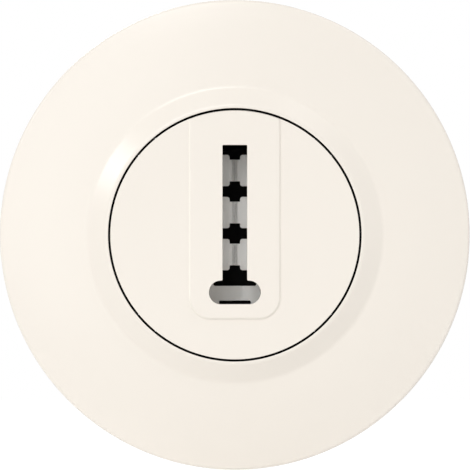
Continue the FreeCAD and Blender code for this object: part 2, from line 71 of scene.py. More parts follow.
class Slot(Enum):
    """The record's material slots."""

    IVORY = "ivory_plastic"
    GREY = "grey_plastic"
    DARK = "dark_plastic"
    ZINC = "zinc_steel"
    BRONZE = "spring_bronze"
    SCREW = "screw_steel"


class Operation(Enum):
    """How two closed forms are combined."""

    CUT = "DIFFERENCE"
    JOIN = "UNION"
    COMMON = "INTERSECT"


class Value:
    """A shader socket that takes part in Python arithmetic."""

    def __init__(self, graph: "Graph", socket: bpy.types.NodeSocket) -> None:
        """Keep the socket and the graph that it belongs to."""
        self.graph = graph
        self.socket = socket

    def maths(self, operation: str, *others: "Value | float", first: bool = True) -> "Value":
        """Add a Math node.

        Args:
            operation: The Math node's operation.
            others: The other operands.
            first: Whether this value is the first operand.

        Returns:
            The node's result.
        """
        operands = [self, *others] if first else [*others, self]
        return self.graph.node("ShaderNodeMath", {"operation": operation}, dict(enumerate(operands)))

    def __add__(self, other: "Value | float") -> "Value":
        """Sum of two values."""
        return self.maths("ADD", other)

    def __radd__(self, other: float) -> "Value":
        """Sum with a number on the left."""
        return self.maths("ADD", other, first=False)

    def __sub__(self, other: "Value | float") -> "Value":
        """Difference of two values."""
        return self.maths("SUBTRACT", other)

    def __rsub__(self, other: float) -> "Value":
        """Difference with a number on the left."""
        return self.maths("SUBTRACT", other, first=False)

    def __mul__(self, other: "Value | float") -> "Value":
        """Product of two values."""
        return self.maths("MULTIPLY", other)

    def __rmul__(self, other: float) -> "Value":
        """Product with a number on the left."""
        return self.maths("MULTIPLY", other, first=False)

    def __truediv__(self, other: "Value | float") -> "Value":
        """Quotient of two values."""
        return self.maths("DIVIDE", other)

    def clamped(self, low: float, high: float) -> "Value":
        """The value kept between two limits."""
        return self.maths("MAXIMUM", low).maths("MINIMUM", high)


class Graph:
    """The node tree of one material or of the surroundings."""

    def __init__(self, owner: bpy.types.Material | bpy.types.World) -> None:
        """Start an empty tree on its owner.

        Args:
            owner: The material or world that it belongs to.
        """
        self.owner = owner
        owner.use_nodes = True
        self.tree = owner.node_tree
        self.tree.nodes.clear()

    def node(self, kind: str, settings: dict | None = None, inputs: dict | None = None,
             output: int | str = 0) -> Value | None:
        """Add a node.

        Args:
            kind: The node's type.
            settings: Values set on the node before its sockets are filled.
            inputs: Values or links by socket name or number.
            output: The output that is passed on.

        Returns:
            The chosen output, or None for a node that has no output.
        """
        made = self.tree.nodes.new(kind)
        for key, value in (settings or {}).items():
            setattr(made, key, value)
        for key, value in (inputs or {}).items():
            if isinstance(value, Value):
                self.tree.links.new(value.socket, made.inputs[key])
            else:
                made.inputs[key].default_value = value
        return Value(self, made.outputs[output]) if made.outputs else None

    def place(self, scale: Sequence[float] = (1.0, 1.0, 1.0)) -> Value:
        """Object coordinates in millimetres, stretched by a scale.

        Args:
            scale: How finely each axis varies.

        Returns:
            The coordinates.
        """
        where = self.node("ShaderNodeTexCoord", output="Object")
        sizes = tuple(s / METRES for s in scale)
        return self.node("ShaderNodeMapping", inputs={"Vector": where, "Scale": sizes})

    def noise(self, where: Value, scale: float, detail: float = 2.0) -> Value:
        """Smooth noise around one half, with `scale` lumps per millimetre."""
        return self.node("ShaderNodeTexNoise", inputs={"Vector": where, "Scale": scale, "Detail": detail})

    @staticmethod
    def around_one(noise: Value, spread: float) -> Value:
        """A factor that varies around 1 with a noise, by a spread either way."""
        return 1.0 - spread + noise * (2 * spread)

    def tint(self, colour: Sequence[float], amount: Value) -> Value:
        """A colour multiplied by a value."""
        return self.node("ShaderNodeVectorMath", {"operation": "SCALE"},
                         {0: tuple(colour), "Scale": amount})

    def painted_recess_shade(self, reach: float, dark: float, bright: float) -> Value:
        """Painted shade: a colour factor from how open a spot is, nearly 0 in narrow gaps and recesses and
        1 in the open.

        Args:
            reach: How far around it counts, in millimetres.
            dark: The open share at and below which the spot is darkest.
            bright: The open share from which it is fully bright.

        Returns:
            The factor for the colour, which paints shade into it.
        """
        # Ambient occlusion turned into a colour factor: painted shade in narrow gaps and recesses.
        share = self.node("ShaderNodeAmbientOcclusion", {"samples": 8}, {"Distance": reach * METRES},
                          output="AO")
        darkest = 0.005
        return ((share - dark) / (bright - dark)).clamped(darkest, 1.0)

    def bump(self, height: Value, depth: float) -> Value:
        """A normal bent by a height, with the depth in millimetres."""
        return self.node("ShaderNodeBump", inputs={"Height": height, "Distance": depth * METRES,
                                                   "Strength": 1.0})

    def finish(self, inputs: dict) -> bpy.types.Material:
        """Close the graph with one glossy surface.

        Args:
            inputs: Values and links of the Principled BSDF.

        Returns:
            The finished material.
        """
        surface = self.node("ShaderNodeBsdfPrincipled", inputs=inputs)
        self.node("ShaderNodeOutputMaterial", inputs={"Surface": surface})
        return self.owner


def linear(red: int, green: int, blue: int) -> tuple[float, float, float]:
    """The linear colour of three display values from 0 to 255, by the sRGB curve.

    Args:
        red: The first display value.
        green: The second.
        blue: The third.

    Returns:
        The three linear values.
    """
    def straighten(level: int) -> float:
        """The linear value of one display value."""
        share = level / 255
        return share / 12.92 if share <= 0.04045 else ((share + 0.055) / 1.055) ** 2.4
    return straighten(red), straighten(green), straighten(blue)


@dataclass(frozen=True)
class MouldedPlastic:
    """A moulded thermoplastic with faint flow mottling and a fine surface grain.

    Here and in the next two finishes, the last field holds the reach and the two open shares of the
    ambient occlusion colour factor in Graph: painted shade that darkens the colour in narrow gaps and
    recesses.
    """

    name: str
    colour: tuple[float, float, float]
    roughness: float
    mottle: float
    grain_depth: float
    grain_per_mm: float
    gloss: float = 0.5
    flow_per_mm: float = 0.045
    patches_per_mm: float = 0.3
    patch_spread: float = 0.04
    recess_shade: tuple[float, float, float] = (1.6, 0.08, 0.55)

    def material(self) -> bpy.types.Material:
        """Build the material."""
        graph = Graph(bpy.data.materials.new(self.name))
        where = graph.place()
        shade = graph.around_one(graph.noise(where, self.flow_per_mm, 3.0), self.mottle)
        grain = graph.noise(where, self.grain_per_mm)
        patches = graph.noise(where, self.patches_per_mm, 4.0)
        return graph.finish({
            # Base colour darkened by ambient occlusion: painted shade in narrow gaps and recesses, such as
            # the ring between disc and plate.
            "Base Color": graph.tint(self.colour, shade * graph.painted_recess_shade(*self.recess_shade)),
            "Roughness": self.roughness - self.patch_spread + patches * (2 * self.patch_spread),
            "Normal": graph.bump(grain, self.grain_depth),
            "Specular IOR Level": self.gloss,
        })


@dataclass(frozen=True)
class PlatedSheet:
    """Bright zinc plating with soft spangles and rolling marks, its colour darkened by painted shade in
    recesses and in the hollow behind the plate.
    """

    name: str
    colour: tuple[float, float, float]
    roughness: float
    stretch: tuple[float, float, float] = (0.25, 1.0, 6.0)
    roll_spread: float = 0.22
    roll_depth: float = 0.006
    clouds_per_mm: float = 0.12
    cloud_spread: float = 0.1
    recess_shade: tuple[float, float, float] = (12.0, 0.25, 0.7)

    def material(self) -> bpy.types.Material:
        """Build the material."""
        graph = Graph(bpy.data.materials.new(self.name))
        rolled = graph.noise(graph.place(self.stretch), 1.0, 3.0)
        shade = graph.around_one(graph.noise(graph.place(), self.clouds_per_mm, 3.0), self.cloud_spread)
        return graph.finish({
            # Base colour darkened by ambient occlusion over a long reach: painted shade in the hollow
            # behind the plate and in recesses.
            "Base Color": graph.tint(self.colour, shade * graph.painted_recess_shade(*self.recess_shade)),
            "Metallic": 1.0,
            "Roughness": (self.roughness + (rolled - 0.5) * self.roll_spread).clamped(0.08, 0.9),
            "Normal": graph.bump(rolled, self.roll_depth),
        })


@dataclass(frozen=True)
class RolledStrip:
    """Drawn metal strip with fine streaks along the strip, its colour darkened by painted shade in
    recesses.
    """

    name: str
    colour: tuple[float, float, float]
    roughness: float
    stretch: tuple[float, float, float]
    streak_spread: float = 0.3
    streak_depth: float = 0.004
    tarnish_per_mm: float = 0.35
    tarnish_spread: float = 0.18
    recess_shade: tuple[float, float, float] = (1.5, 0.0, 0.7)

    def material(self) -> bpy.types.Material:
        """Build the material."""
        graph = Graph(bpy.data.materials.new(self.name))
        streaks = graph.noise(graph.place(self.stretch), 1.0, 3.0)
        shade = graph.around_one(graph.noise(graph.place(), self.tarnish_per_mm, 4.0), self.tarnish_spread)
        return graph.finish({
            # Base colour darkened by ambient occlusion: painted shade in recesses.
            "Base Color": graph.tint(self.colour, shade * graph.painted_recess_shade(*self.recess_shade)),
            "Metallic": 1.0,
            "Roughness": (self.roughness + (streaks - 0.5) * self.streak_spread).clamped(0.1, 0.9),
            "Normal": graph.bump(streaks, self.streak_depth),
        })


IVORY = MouldedPlastic("ivory_plastic", linear(247, 240, 230), 0.24, 0.006, 0.0012, 2.2)
GREY = MouldedPlastic("grey_plastic", linear(248, 248, 246), 0.5, 0.02, 0.006, 3.0)
DARK = MouldedPlastic("dark_plastic", linear(14, 13, 13), 0.6, 0.12, 0.006, 3.0, gloss=0.2)
ZINC = PlatedSheet("zinc_steel", linear(214, 217, 220), 0.28)
SCREW = RolledStrip("screw_steel", linear(208, 206, 200), 0.26, (2.0, 8.0, 2.0))
BRONZE = RolledStrip("spring_bronze", linear(206, 158, 98), 0.25, (1.0, 1.0, 9.0))


def corners_of(edges: Iterable[bmesh.types.BMEdge]) -> list[bmesh.types.BMVert]:
    """The corners of some edges, each once and always in the same order."""
    return list(dict.fromkeys(vert for edge in edges for vert in edge.verts))


class Form:
    """A closed mesh in millimetres that bmesh operators shape."""

    def __init__(self) -> None:
        """Start with nothing."""
        self.bm = bmesh.new()

    def loop(self, corners: Sequence[Sequence[float]], rounds: dict[int, float] | None = None,
             segments: int = 8) -> list[bmesh.types.BMEdge]:
        """Draw a closed line in the plane z = 0 and round some of its corners.

        Args:
            corners: The corners as x and y.
            rounds: How far from a corner its round starts, by the corner's number.
            segments: The segments of each round.

        Returns:
            The edges of the line.
        """
        old = set(self.bm.edges)
        verts = [self.bm.verts.new((x, y, 0.0)) for x, y in corners]
        for start, end in zip(verts, verts[1:] + verts[:1]):
            self.bm.edges.new((start, end))
        for number, start_at in (rounds or {}).items():
            bmesh.ops.bevel(self.bm, geom=[verts[number]], offset=start_at, offset_type="OFFSET",
                            segments=segments, profile=0.5, affect="VERTICES", material=-1)
        return [edge for edge in self.bm.edges if edge not in old]

    def lathe(self, corners: Sequence[Sequence[float]], rounds: dict[int, float] | None = None,
              steps: int = LATHE_STEPS, segments: int = 8) -> "Form":
        """Turn a closed outline of radius and depth about the centre line.

        Args:
            corners: The outline's corners as radius and y.
            rounds: How far from a corner its round starts.
            steps: The steps of the full turn.
            segments: The segments of each round.

        Returns:
            The form.
        """
        edges = self.loop(corners, rounds, segments=segments)
        bmesh.ops.spin(self.bm, geom=[*corners_of(edges), *edges], cent=ORIGIN, axis=AXIS, dvec=ORIGIN,
                       angle=2 * math.pi, steps=steps, use_merge=True, use_duplicate=False)
        return self.closed()

    def loft(self, sections: Sequence[tuple[Sequence[Sequence[float]], dict[int, float], float]],
             segments: int = 8) -> "Form":
        """Join outlines of x and z, each at its own depth, into a closed solid.

        Args:
            sections: For each outline its corners, its rounds and its y.
            segments: The segments of each round.

        Returns:
            The form.
        """
        loops = []
        for corners, rounds, y in sections:
            edges = self.loop(corners, rounds, segments=segments)
            upright = Matrix.Translation((0, y, 0)) @ Matrix.Rotation(math.pi / 2, 4, "X")
            bmesh.ops.transform(self.bm, matrix=upright, verts=corners_of(edges))
            loops.append(edges)
        for low, high in zip(loops, loops[1:]):
            bmesh.ops.bridge_loops(self.bm, edges=low + high)
        for end in (loops[0], loops[-1]):
            bmesh.ops.contextual_create(self.bm, geom=end)
        return self.closed()

    def closed(self) -> "Form":
        """Merge what lies on the same spot, drop loose lines and turn every face outwards."""
        bmesh.ops.remove_doubles(self.bm, verts=self.bm.verts[:], dist=SAME_SPOT)
        loose = [edge for edge in self.bm.edges if not edge.link_faces]
        bmesh.ops.delete(self.bm, geom=loose, context="EDGES")
        bmesh.ops.recalc_face_normals(self.bm, faces=self.bm.faces[:])
        return self

    def mend(self) -> None:
        """Fill the holes of three or four sides that cuts and rounds can leave."""
        rims = [edge for edge in self.bm.edges if len(edge.link_faces) == 1]
        bmesh.ops.holes_fill(self.bm, edges=rims, sides=4)
        bmesh.ops.recalc_face_normals(self.bm, faces=self.bm.faces[:])

    def block(self, x: Sequence[float], y: Sequence[float], z: Sequence[float]) -> "Form":
        """Add a box between pairs of values.

        Args:
            x: Its sides.
            y: Its front and back.
            z: Its bottom and top.

        Returns:
            The form.
        """
        low, high = Vector((x[0], y[0], z[0])), Vector((x[1], y[1], z[1]))
        place = Matrix.Translation((low + high) / 2) @ Matrix.Diagonal((*(high - low), 1.0))
        bmesh.ops.create_cube(self.bm, size=1.0, matrix=place)
        return self

    def slab(self, outline: Sequence[tuple[float, float]], low: float, high: float) -> "Form":
        """Make a flat outline thick along z.

        Args:
            outline: The corners as x and y.
            low: The lower height.
            high: The upper height.

        Returns:
            The form.
        """
        edges = self.loop(outline)
        face = bmesh.ops.contextual_create(self.bm, geom=edges)["faces"]
        pushed = bmesh.ops.extrude_face_region(self.bm, geom=face)
        top = [item for item in pushed["geom"] if isinstance(item, bmesh.types.BMVert)]
        bmesh.ops.translate(self.bm, vec=(0, 0, high - low), verts=top)
        return self.moved(z=low).closed()

    def rod(self, radius: float, y: Sequence[float], x: float) -> "Form":
        """Add a round rod along the depth.

        Args:
            radius: The rod's radius.
            y: The depths of its ends.
            x: Its sideways place.

        Returns:
            The form.
        """
        place = Matrix.Translation((x, sum(y) / 2, 0.0)) @ Matrix.Rotation(-math.pi / 2, 4, "X")
        bmesh.ops.create_cone(self.bm, cap_ends=True, cap_tris=False, segments=48, radius1=radius,
                              radius2=radius, depth=y[1] - y[0], matrix=place)
        return self

    def bevel(self, chosen: Callable[[bmesh.types.BMEdge], bool], width: float,
              segments: int = 3) -> "Form":
        """Round the edges that a test picks out.

        Args:
            chosen: The test.
            width: How far the round reaches.
            segments: The segments across it.

        Returns:
            The form.
        """
        edges = [edge for edge in self.bm.edges if chosen(edge)]
        bmesh.ops.bevel(self.bm, geom=edges, offset=width, offset_type="OFFSET", segments=segments,
                        profile=0.5, affect="EDGES", material=-1)
        return self

    def turned(self, angle: float) -> "Form":
        """Turn the form about the centre line, by degrees."""
        bmesh.ops.rotate(self.bm, cent=ORIGIN, matrix=Matrix.Rotation(math.radians(angle), 3, "Y"),
                         verts=self.bm.verts[:])
        return self

    def moved(self, x: float = 0.0, y: float = 0.0, z: float = 0.0) -> "Form":
        """Move the form."""
        bmesh.ops.translate(self.bm, vec=(x, y, z), verts=self.bm.verts[:])
        return self

    def copy(self) -> "Form":
        """A separate copy of the form."""
        other = Form()
        other.bm = self.bm.copy()
        return other

    def around(self, angles: Iterable[float]) -> "Form":
        """Copies of the form turned about the centre line.

        Args:
            angles: The angle of each copy in degrees.

        Returns:
            All the copies in one form.
        """
        whole = Form()
        for angle in angles:
            whole.add(self.copy().turned(angle))
        return whole

    def add(self, other: "Form") -> "Form":
        """Put another form beside this one, in the same mesh.

        Args:
            other: The form that is added.

        Returns:
            This form.
        """
        mesh = other.mesh("added")
        self.bm.from_mesh(mesh)
        bpy.data.meshes.remove(mesh)
        return self

    def mesh(self, name: str) -> bpy.types.Mesh:
        """The form as a mesh, still in millimetres."""
        mesh = bpy.data.meshes.new(name)
        self.bm.to_mesh(mesh)
        return mesh

    def combine(self, other: "Form", operation: Operation) -> "Form":
        """Cut, join or intersect with another closed form.

        Args:
            other: The second form.
            operation: What is done with the two.

        Returns:
            This form, changed.
        """
        body, tool = (bpy.data.objects.new(n, f.mesh(n)) for n, f in (("body", self), ("tool", other)))
        for item in (body, tool):
            bpy.context.scene.collection.objects.link(item)
        step = body.modifiers.new("combine", "BOOLEAN")
        step.operation = operation.value
        step.object = tool
        step.solver = "EXACT"
        graph = bpy.context.evaluated_depsgraph_get()
        made = bpy.data.meshes.new_from_object(body.evaluated_get(graph))
        self.bm.clear()
        self.bm.from_mesh(made)
        for item in (body, tool):
            mesh = item.data
            bpy.data.objects.remove(item)
            bpy.data.meshes.remove(mesh)
        bpy.data.meshes.remove(made)
        return self

    def cut(self, other: "Form") -> "Form":
        """Take another form away."""
        return self.combine(other, Operation.CUT)

    def join(self, other: "Form") -> "Form":
        """Fuse with another form."""
        return self.combine(other, Operation.JOIN)

    def common(self, other: "Form") -> "Form":
        """Keep what both forms share."""
        return self.combine(other, Operation.COMMON)

    def from_node(self, name: str) -> "Form":
        """Start from a merged copy of a CAD node, with its flat faces made whole.

        Args:
            name: The node.

        Returns:
            The form.
        """
        self.bm.from_mesh(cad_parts[name].data)
        bmesh.ops.scale(self.bm, vec=(1 / METRES,) * 3, verts=self.bm.verts[:])
        bmesh.ops.remove_doubles(self.bm, verts=self.bm.verts[:], dist=SAME_CAD_SPOT)
        flat = math.radians(0.5)
        bmesh.ops.dissolve_limit(self.bm, angle_limit=flat, verts=self.bm.verts[:], delimit={"NORMAL"},
                                 edges=self.bm.edges[:], use_dissolve_boundaries=False)
        return self

    def soften(self, width: float, segments: int = 2, above: float = 35.0) -> "Form":
        """Round every edge that is sharper than an angle in degrees."""
        limit = math.radians(above)
        return self.bevel(lambda edge: len(edge.link_faces) == 2 and edge.calc_face_angle(0) > limit,
                          width, segments)

    def numeral(self, character: str, size: float, x: float, y: float, z: float,
                height: float) -> "Form":
        """Add a raised numeral that is read from behind.

        Args:
            character: The numeral.
            size: Its height on the surface.
            x: Its middle sideways.
            y: The surface that it stands on.
            z: Its middle height.
            height: How far it stands proud.

        Returns:
            The form.
        """
        data = bpy.data.curves.new("numeral", "FONT")
        data.body = character
        data.size = size
        data.extrude = height / 2
        data.bevel_depth = height / 5
        data.align_x = "CENTER"
        data.align_y = "CENTER"
        item = bpy.data.objects.new("numeral", data)
        bpy.context.scene.collection.objects.link(item)
        graph = bpy.context.evaluated_depsgraph_get()
        mesh = bpy.data.meshes.new_from_object(item.evaluated_get(graph))
        behind = Matrix.Rotation(math.pi, 4, "Z") @ Matrix.Rotation(math.pi / 2, 4, "X")
        mesh.transform(Matrix.Translation((x, y, z)) @ behind)
        self.bm.from_mesh(mesh)
        bpy.data.objects.remove(item)
        bpy.data.curves.remove(data)
        bpy.data.meshes.remove(mesh)
        return self.closed()

    def piece(self, name: str, slot: Slot, material: bpy.types.Material,
              stands_for: Sequence[str] = (), crease: float = 34.0) -> bpy.types.Object:
        """Make the form a finished piece of the object.

        Args:
            name: The piece's name.
            slot: The record's material slot; it is not used.
            material: The finish.
            stands_for: The CAD nodes that it replaces.
            crease: The angle in degrees above which an edge stays sharp.

        Returns:
            The piece, riding on the root body.
        """
        self.mend()
        bmesh.ops.scale(self.bm, vec=(METRES,) * 3, verts=self.bm.verts[:])
        mesh = self.mesh(name)
        self.bm.free()
        mesh.materials.clear()
        mesh.materials.append(material)
        mesh.polygons.foreach_set("material_index", [0] * len(mesh.polygons))
        mesh.shade_smooth()
        mesh.set_sharp_from_angle(angle=math.radians(crease))
        made = bpy.data.objects.new(name, mesh)
        bpy.context.scene.collection.objects.link(made)
        flatten = made.modifiers.new("flat faces", "WEIGHTED_NORMAL")
        flatten.keep_sharp = True
        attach(made, "root")
        if stands_for:
            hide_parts(*stands_for)
        log.info("%s: %d faces", name, len(mesh.polygons))
        return made


@dataclass
class CoverPlate:
    """The round moulded plate: dome, collar, skirt, ribs and clip posts."""

    radius: float = 51.0
    wall: float = 1.8
    rim_height: float = 4.2
    rim_round: float = 0.6
    rim_inside_round: float = 0.7
    foot_edge: float = 0.15
    dome_rise: float = 2.4
    dome_bulge: float = 0.4
    dome_points: int = 18
    collar_rise: float = 2.0
    collar_run: float = 4.1
    collar_foot: float = 32.1
    foot_round: float = 0.45
    hole_radius: float = 27.45
    hole_round: float = 0.07
    lip: float = 0.6
    lip_round: float = 0.3
    skirt_depth: float = -4.6
    rib_count: int = 8
    rib_wall: float = 1.0
    rib_back: float = -2.2
    post_inner: float = 35.9
    post_wall: float = 1.5
    post_width: float = 8.0
    post_back: float = -1.8
    barb_width: float = 5.0
    barb_reach: float = 0.9
    barb_low: float = -2.12
    barb_high: float = -3.12
    barb_land: float = 0.35
    barb_root: float = 0.3
    notch_width: float = 8.0
    notch_height: float = 1.0
    pin_radius: float = 1.6
    pin_height: float = 0.15
    pin_root: float = 0.6
    pin_circle: float = 42.0

    @property
    def dome_top(self) -> float:
        """The depth of the dome where the collar starts."""
        return -self.rim_height - self.dome_rise

    @property
    def front(self) -> float:
        """The depth of the collar's flat lip."""
        return self.dome_top - self.collar_rise

    def dome_depth(self, share: float) -> tuple[float, float]:
        """A point on the dome, from the collar's foot (0) to the rim (1).

        Args:
            share: How far along the dome.

        Returns:
            The radius and the depth.
        """
        radius = self.collar_foot + (self.radius - self.collar_foot) * share
        bulge = 4 * self.dome_bulge * share * (1 - share)
        return radius, self.dome_top + self.dome_rise * share - bulge

    def underside(self, radius: float, sink: float) -> float:
        """The depth of a plane sunk below the dome, at a radius."""
        span = self.radius - self.wall - self.collar_foot
        return self.dome_top + sink + self.dome_rise * (radius - self.collar_foot) / span

    def shell(self) -> Form:
        """The turned shell with its rounded rim, collar and hole."""
        shares = [i / self.dome_points for i in range(1, self.dome_points)]
        dome = [self.dome_depth(share) for share in shares]
        skirt_outer = self.hole_radius + self.wall
        inner_rim = self.radius - self.wall
        lean = math.hypot(1, self.collar_rise / self.collar_run)
        collar_drop = (self.collar_foot - skirt_outer) * self.collar_rise / self.collar_run
        under = self.dome_top - collar_drop + self.wall * lean
        corners = [
            (self.hole_radius, self.skirt_depth),
            (self.hole_radius, self.front),
            (self.hole_radius + self.lip, self.front),
            (self.collar_foot, self.dome_top),
            *dome,
            (self.radius, -self.rim_height),
            (self.radius, 0.0),
            (inner_rim, 0.0),
            (inner_rim, -self.rim_height + self.wall),
            (self.collar_foot, self.dome_top + self.wall),
            (skirt_outer, under),
            (skirt_outer, self.skirt_depth),
        ]
        rim = 4 + len(dome)
        rounds = {1: self.hole_round, 2: self.lip_round, 3: self.foot_round, rim: self.rim_round,
                  rim + 1: self.foot_edge, rim + 2: self.foot_edge, rim + 3: self.rim_inside_round}
        return Form().lathe(corners, rounds)

    def rib(self) -> Form:
        """One radial rib, on the side of +X."""
        inner = self.hole_radius + self.wall / 2
        outer = self.radius - self.wall / 2
        half = self.rib_wall / 2
        rim_top = self.underside(self.radius - self.wall, self.wall / 2)
        outline = [(inner, self.rib_back), (inner, self.front + self.wall * 0.75),
                   (self.collar_foot, self.dome_top + self.wall / 2), (outer, rim_top),
                   (outer, self.rib_back)]
        return Form().slab(outline, -half, half)

    def clip(self) -> Form:
        """One clip post with its barb, on the side of +X."""
        inner, outer = self.post_inner, self.post_inner + self.post_wall
        post = [(inner, self.post_back), (inner, self.underside(inner, self.wall / 2)),
                (outer, self.underside(outer, self.wall / 2)), (outer, self.post_back)]
        form = Form().slab(post, -self.post_width / 2, self.post_width / 2)
        root, reach = inner + self.barb_root, inner - self.barb_reach
        barb = [(root, self.barb_high), (reach, self.barb_high),
                (reach, self.barb_high + self.barb_land), (inner, self.barb_low), (root, self.barb_low)]
        return form.join(Form().slab(barb, -self.barb_width / 2, self.barb_width / 2))

    def pin(self) -> Form:
        """The faint round mark that one ejector pin leaves behind the dome, on the side of +X."""
        top = self.underside(self.pin_circle, self.wall)
        return Form().rod(self.pin_radius, (top - self.pin_root, top + self.pin_height), self.pin_circle)

    def spread(self, start: float) -> list[float]:
        """One angle for each rib, from a share of the step between two of them."""
        return [360 / self.rib_count * (number + start) for number in range(self.rib_count)]

    def build(self) -> None:
        """Make the plate and hide the CAD solid that it stands for."""
        inside = self.rib().around(self.spread(0.5))
        inside.add(self.clip().around(QUARTERS)).add(self.pin().around(self.spread(0.25)))
        form = self.shell().join(inside)
        half = self.notch_width / 2
        form.cut(Form().block((-half, half), (-self.notch_height, OVERRUN),
                              (-self.radius - OVERRUN, -self.radius + self.wall + OVERRUN / 2)))
        form.piece("cover_plate_shell", Slot.IVORY, IVORY.material(), ["cover_plate"])


@dataclass
class TrimDisc:
    """The flush disc with its raised panel and the T-shaped plug opening."""

    radius: float = 26.96
    edge_round: float = 0.08
    inside_round: float = 0.5
    front: float = -8.6
    wall: float = 1.8
    skirt_wall: float = 1.6
    skirt_back: float = -1.2
    leg_back: float = 1.6
    leg_width: float = 5.0
    leg_barb: float = 0.7
    leg_barb_round: float = 0.2
    leg_land: float = 0.5
    leg_slit: float = 0.8
    leg_slit_depth: float = 3.6
    notch_width: float = 12.0
    notch_height: float = 3.2
    panel_half: float = 10.0
    panel_low: float = -18.4
    panel_corner: float = 4.8
    panel_raise: float = 0.4
    panel_edge: tuple[tuple[float, float], ...] = (
        (0.0, -0.9), (0.03, 0.04), (0.37, 0.35), (0.45, 0.388), (0.54, 0.4))
    panel_reach: float = 26.92
    panel_end_slope: float = 0.08
    reach_back: float = 1.4
    slot_half: float = 2.665
    slot_top: float = 19.45
    slot_round: float = 0.2
    neck_round: float = 0.25
    key_half: float = 5.6
    key_low: float = -15.02
    key_high: float = -9.92
    key_round: float = 2.54
    edge_break: float = 0.1
    tower_half: float = 7.5
    tower_low: float = -17.27
    tower_high: float = 21.7
    fit: float = 0.1
    collar_wall: float = 1.0
    collar_depth: float = 2.0

    def disc(self) -> Form:
        """The turned disc with its skirt, and a ring behind it that the snap legs are cut from."""
        back = self.front + self.wall
        inner, barb = self.radius - self.skirt_wall, self.radius + self.leg_barb
        corners = [(0.0, self.front), (self.radius, self.front), (self.radius, self.fit), (barb, self.fit),
                   (barb, self.fit + self.leg_land), (self.radius, self.leg_back), (inner, self.leg_back),
                   (inner, back), (0.0, back)]
        return Form().lathe(corners, {1: self.edge_round, 4: self.leg_barb_round, 7: self.inside_round})

    def panel_outline(self, shrink: float) -> tuple[list[tuple[float, float]], dict[int, float]]:
        """The panel's outline drawn in by a margin.

        Args:
            shrink: The margin.

        Returns:
            The corners, and their rounds by number.
        """
        half = self.panel_half - shrink
        low = self.panel_low + shrink
        high = self.radius + 3 * OVERRUN
        corners = [(-half, high), (-half, low), (half, low), (half, high)]
        corner = self.panel_corner - shrink
        return corners, {1: corner, 2: corner}

    def panel(self) -> Form:
        """The raised panel with its softly sloped edge, ended at the rim of the disc.

        Each pair in panel_edge says how far in from the outline a line of the edge lies, and how far
        it stands in front of the disc. What ends the panel is turned by half a step, so that none of
        its corners lie on the disc's.
        """
        sections = [(*self.panel_outline(shrink), self.front - proud) for shrink, proud in self.panel_edge]
        above = 3 * self.panel_raise
        inner = self.panel_reach - self.panel_end_slope * above / self.panel_raise
        low, high = self.front - above, self.front + self.reach_back
        reach = Form().lathe([(0.0, low), (inner, low), (self.panel_reach, self.front),
                              (self.panel_reach, high), (0.0, high)])
        return Form().loft(sections, segments=16).common(reach.turned(180 / LATHE_STEPS))

    def opening_outline(self, grow: float) -> tuple[list[tuple[float, float]], dict[int, float]]:
        """The opening's outline grown by a margin.

        Args:
            grow: The margin.

        Returns:
            The corners, and their rounds by number.
        """
        slot, key = self.slot_half + grow, self.key_half + grow
        low, high, top = self.key_low - grow, self.key_high + grow, self.slot_top + grow
        corners = [(-slot, top), (-slot, high), (-key, high), (-key, low),
                   (key, low), (key, high), (slot, high), (slot, top)]
        key, neck = self.key_round + grow, self.neck_round - grow / 2
        return corners, {2: key, 3: key, 4: key, 5: key, 0: self.slot_round, 7: self.slot_round,
                         1: neck, 6: neck}

    def opening(self) -> Form:
        """The cutter of the opening, flared at the front for a round of two flats.

        The outer flat runs on past the panel's front, so that no line of the cutter lies on it.
        """
        crest = self.front - self.panel_raise
        edge = self.edge_break
        middle = edge * ARC_SHARE
        steps = [(2 * edge - middle, crest - OVERRUN), (2 * edge - middle, crest - middle),
                 (middle, crest + middle), (0.0, crest + edge),
                 (0.0, self.front + self.wall + 3 * OVERRUN)]
        sections = [(*self.opening_outline(grow), y) for grow, y in steps]
        return Form().loft(sections, segments=12)

    def leg_gaps(self) -> Form:
        """The cutter that takes away the ring behind the skirt, all but the four legs."""
        inner, outer = self.radius - self.skirt_wall - 2 * OVERRUN, self.radius + 2 * OVERRUN
        low, high = self.skirt_back, self.leg_back + OVERRUN
        ring = Form().lathe([(inner, low), (outer, low), (outer, high), (inner, high)])
        half = (self.leg_width + self.leg_slit) / 2
        keep = Form().block((inner - OVERRUN, outer + OVERRUN), (low - OVERRUN, high + OVERRUN),
                            (-half, half))
        return ring.cut(keep.around(DIAGONALS))

    def rim_cuts(self) -> Form:
        """The cutter of the four notches in the skirt and of the slits beside the legs."""
        across = (self.radius - 3 * OVERRUN, self.radius + 2 * OVERRUN)
        notch = Form().block(across, (self.skirt_back - self.notch_height, self.skirt_back + OVERRUN),
                             (-self.notch_width / 2, self.notch_width / 2))
        depth = (self.skirt_back - self.leg_slit_depth, self.leg_back + 2 * OVERRUN)
        near, far = self.leg_width / 2, self.leg_width / 2 + self.leg_slit
        slits = Form().block(across, depth, (near, far)).block(across, depth, (-far, -near))
        return notch.around(QUARTERS).add(slits.around(DIAGONALS))

    def around_tower(self, grow: float, front: float, back: float) -> Form:
        """A box between two depths that is larger than the housing's tower by a margin."""
        half = self.tower_half + grow
        return Form().block((-half, half), (front, back), (self.tower_low - grow, self.tower_high + grow))

    def build(self) -> None:
        """Make the disc and hide the CAD solid that it stands for."""
        form = self.disc().join(self.panel()).cut(self.leg_gaps()).cut(self.rim_cuts())
        back = self.front + self.wall
        end = back + self.collar_depth
        form.join(self.around_tower(self.fit + self.collar_wall, back - self.wall / 2, end))
        form.cut(self.around_tower(self.fit, back, end + OVERRUN)).cut(self.opening())
        form.piece("trim_disc_moulding", Slot.IVORY, IVORY.material(), ["trim_disc"])


